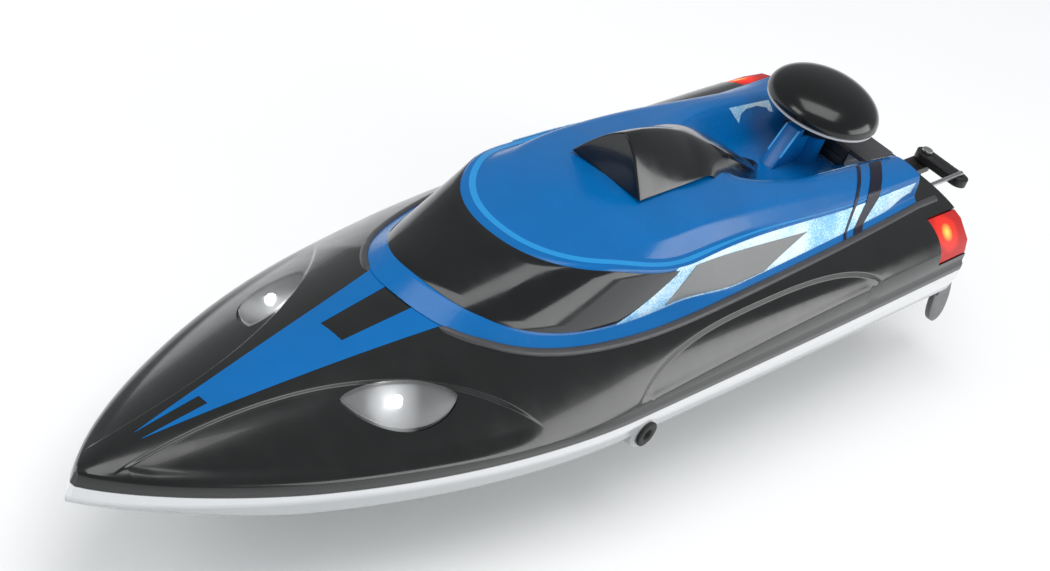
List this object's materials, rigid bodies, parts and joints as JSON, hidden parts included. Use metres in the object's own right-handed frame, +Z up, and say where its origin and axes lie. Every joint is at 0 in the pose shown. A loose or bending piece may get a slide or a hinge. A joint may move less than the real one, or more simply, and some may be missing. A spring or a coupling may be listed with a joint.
{
  "type": "rc boat",
  "caption": "Radio-controlled racing boat with a slim V hull, hinged bubble canopy over a sealed inner hatch, motor drive line, propeller and servo-steered stern rudder.",
  "frame": {"origin": "middle of the flat keel pad, on its underside, 235 mm forward of the transom", "axes": "+X to the bow, +Y to port, +Z up"},
  "size_m": [0.5244, 0.1314, 0.125],
  "materials": {
    "hull_white": "gloss",
    "deck_black": "gloss",
    "canopy_blue": "gloss",
    "canopy_black": "gloss",
    "window_grey": "gloss",
    "satin_black": "satin",
    "rim_grey": "satin",
    "rubber": "matt",
    "red_plastic": "gloss",
    "clear": "clear",
    "chrome": "polished",
    "red_lens": "gloss",
    "steel": "satin",
    "brass": "satin",
    "aluminium": "satin",
    "silicone": "satin",
    "cell_wrap": "gloss",
    "strap": "woven",
    "board": "matt",
    "fin_grey": "satin"
  },
  "bodies": {
    "boat": {"hull_shell": "hull_white", "deck_shell": "deck_black", "headlight_lens_port": "clear", "headlight_lens_starboard": "clear", "headlight_reflector_port": "chrome", "headlight_reflector_starboard": "chrome", "tail_light_lens_port": "red_lens", "tail_light_lens_starboard": "red_lens", "tail_light_led_port": "clear", "tail_light_led_starboard": "clear", "stern_tube": "brass", "motor": "steel", "motor_mount": "satin_black", "motor_screw_port": "steel", "motor_screw_starboard": "steel", "water_jacket": "aluminium", "water_inlet": "brass", "water_outlet": "rubber", "cooling_hose_in": "silicone", "cooling_hose_out": "silicone", "equipment_tray": "satin_black", "battery": "cell_wrap", "battery_strap": "strap", "control_board": "board", "battery_lead": "red_plastic", "motor_lead_port": "red_plastic", "motor_lead_starboard": "satin_black", "sensor_contact_port": "brass", "sensor_contact_starboard": "brass", "bracket_screw_1": "steel", "bracket_screw_2": "steel", "rudder_bracket": "satin_black", "pushrod_boot": "rubber", "servo": "satin_black", "servo_tray": "satin_black", "turn_fin_port": "fin_grey", "turn_fin_starboard": "fin_grey"},
    "canopy": {"canopy_cover": "canopy_blue", "windshield": "canopy_black", "side_window_port": "window_grey", "side_window_starboard": "window_grey", "roof_scoop": "canopy_black", "stern_panel": "satin_black"},
    "knob": {"dome_cap": "canopy_black", "dome_rim": "rim_grey", "latch_stem": "satin_black"},
    "lid": {"hatch_cover": "satin_black", "hatch_seal": "rubber"},
    "lid_latch_port": {"hatch_latch_port": "red_plastic"},
    "lid_latch_starboard": {"hatch_latch_starboard": "red_plastic"},
    "drive": {"propeller": "satin_black", "propeller_nut": "brass", "drive_shaft": "steel", "shaft_coupling": "steel", "motor_shaft": "steel"},
    "rudder": {"rudder_blade": "satin_black", "tiller_arm": "satin_black", "tiller_screw": "steel"},
    "servo_arm": {"servo_horn": "rim_grey"},
    "link": {"pushrod": "steel"}
  },
  "joints": [
    {"name": "canopy_open", "type": "hinge", "parent": "boat", "child": "canopy", "pos_m": [0.0843, 0, 0.071], "axis": [0, 1, 0], "range_deg": [0, 55]},
    {"name": "knob_turn", "type": "hinge", "parent": "canopy", "child": "knob", "pos_m": [-0.181, 0, 0.09], "axis": [0, 0, 1], "range_deg": [0, 90]},
    {"name": "hatch_lift", "type": "slide", "parent": "boat", "child": "lid", "axis": [0, 0, 1], "range_m": [0, 0.004]},
    {"name": "hatch_latch_port_turn", "type": "hinge", "parent": "lid", "child": "lid_latch_port", "pos_m": [-0.035, 0.028, 0.073], "axis": [0, 0, 1], "range_deg": [0, 90]},
    {"name": "hatch_latch_starboard_turn", "type": "hinge", "parent": "lid", "child": "lid_latch_starboard", "pos_m": [-0.035, -0.028, 0.073], "axis": [0, 0, 1], "range_deg": [0, 90]},
    {"name": "propeller_spin", "type": "hinge", "parent": "boat", "child": "drive", "pos_m": [-0.25, 0, 0.009], "axis": [0.9962, 0, 0.0872], "continuous": true},
    {"name": "rudder_turn", "type": "hinge", "parent": "boat", "child": "rudder", "pos_m": [-0.272, 0.013, 0.05], "axis": [0, 0, 1], "range_deg": [-30, 30]},
    {"name": "servo_turn", "type": "hinge", "parent": "boat", "child": "servo_arm", "pos_m": [-0.1955, 0.013, 0.05], "axis": [0, 0, 1], "range_deg": [-30, 30]},
    {"name": "pushrod_swing", "type": "hinge", "parent": "servo_arm", "child": "link", "pos_m": [-0.1955, 0.0305, 0.058], "axis": [0, 0, 1], "range_deg": [-30, 30]}
  ],
  "couplings": [
    {"joint": "servo_turn", "follows": "rudder_turn", "ratio": 1},
    {"joint": "pushrod_swing", "follows": "rudder_turn", "ratio": -1}
  ]
}
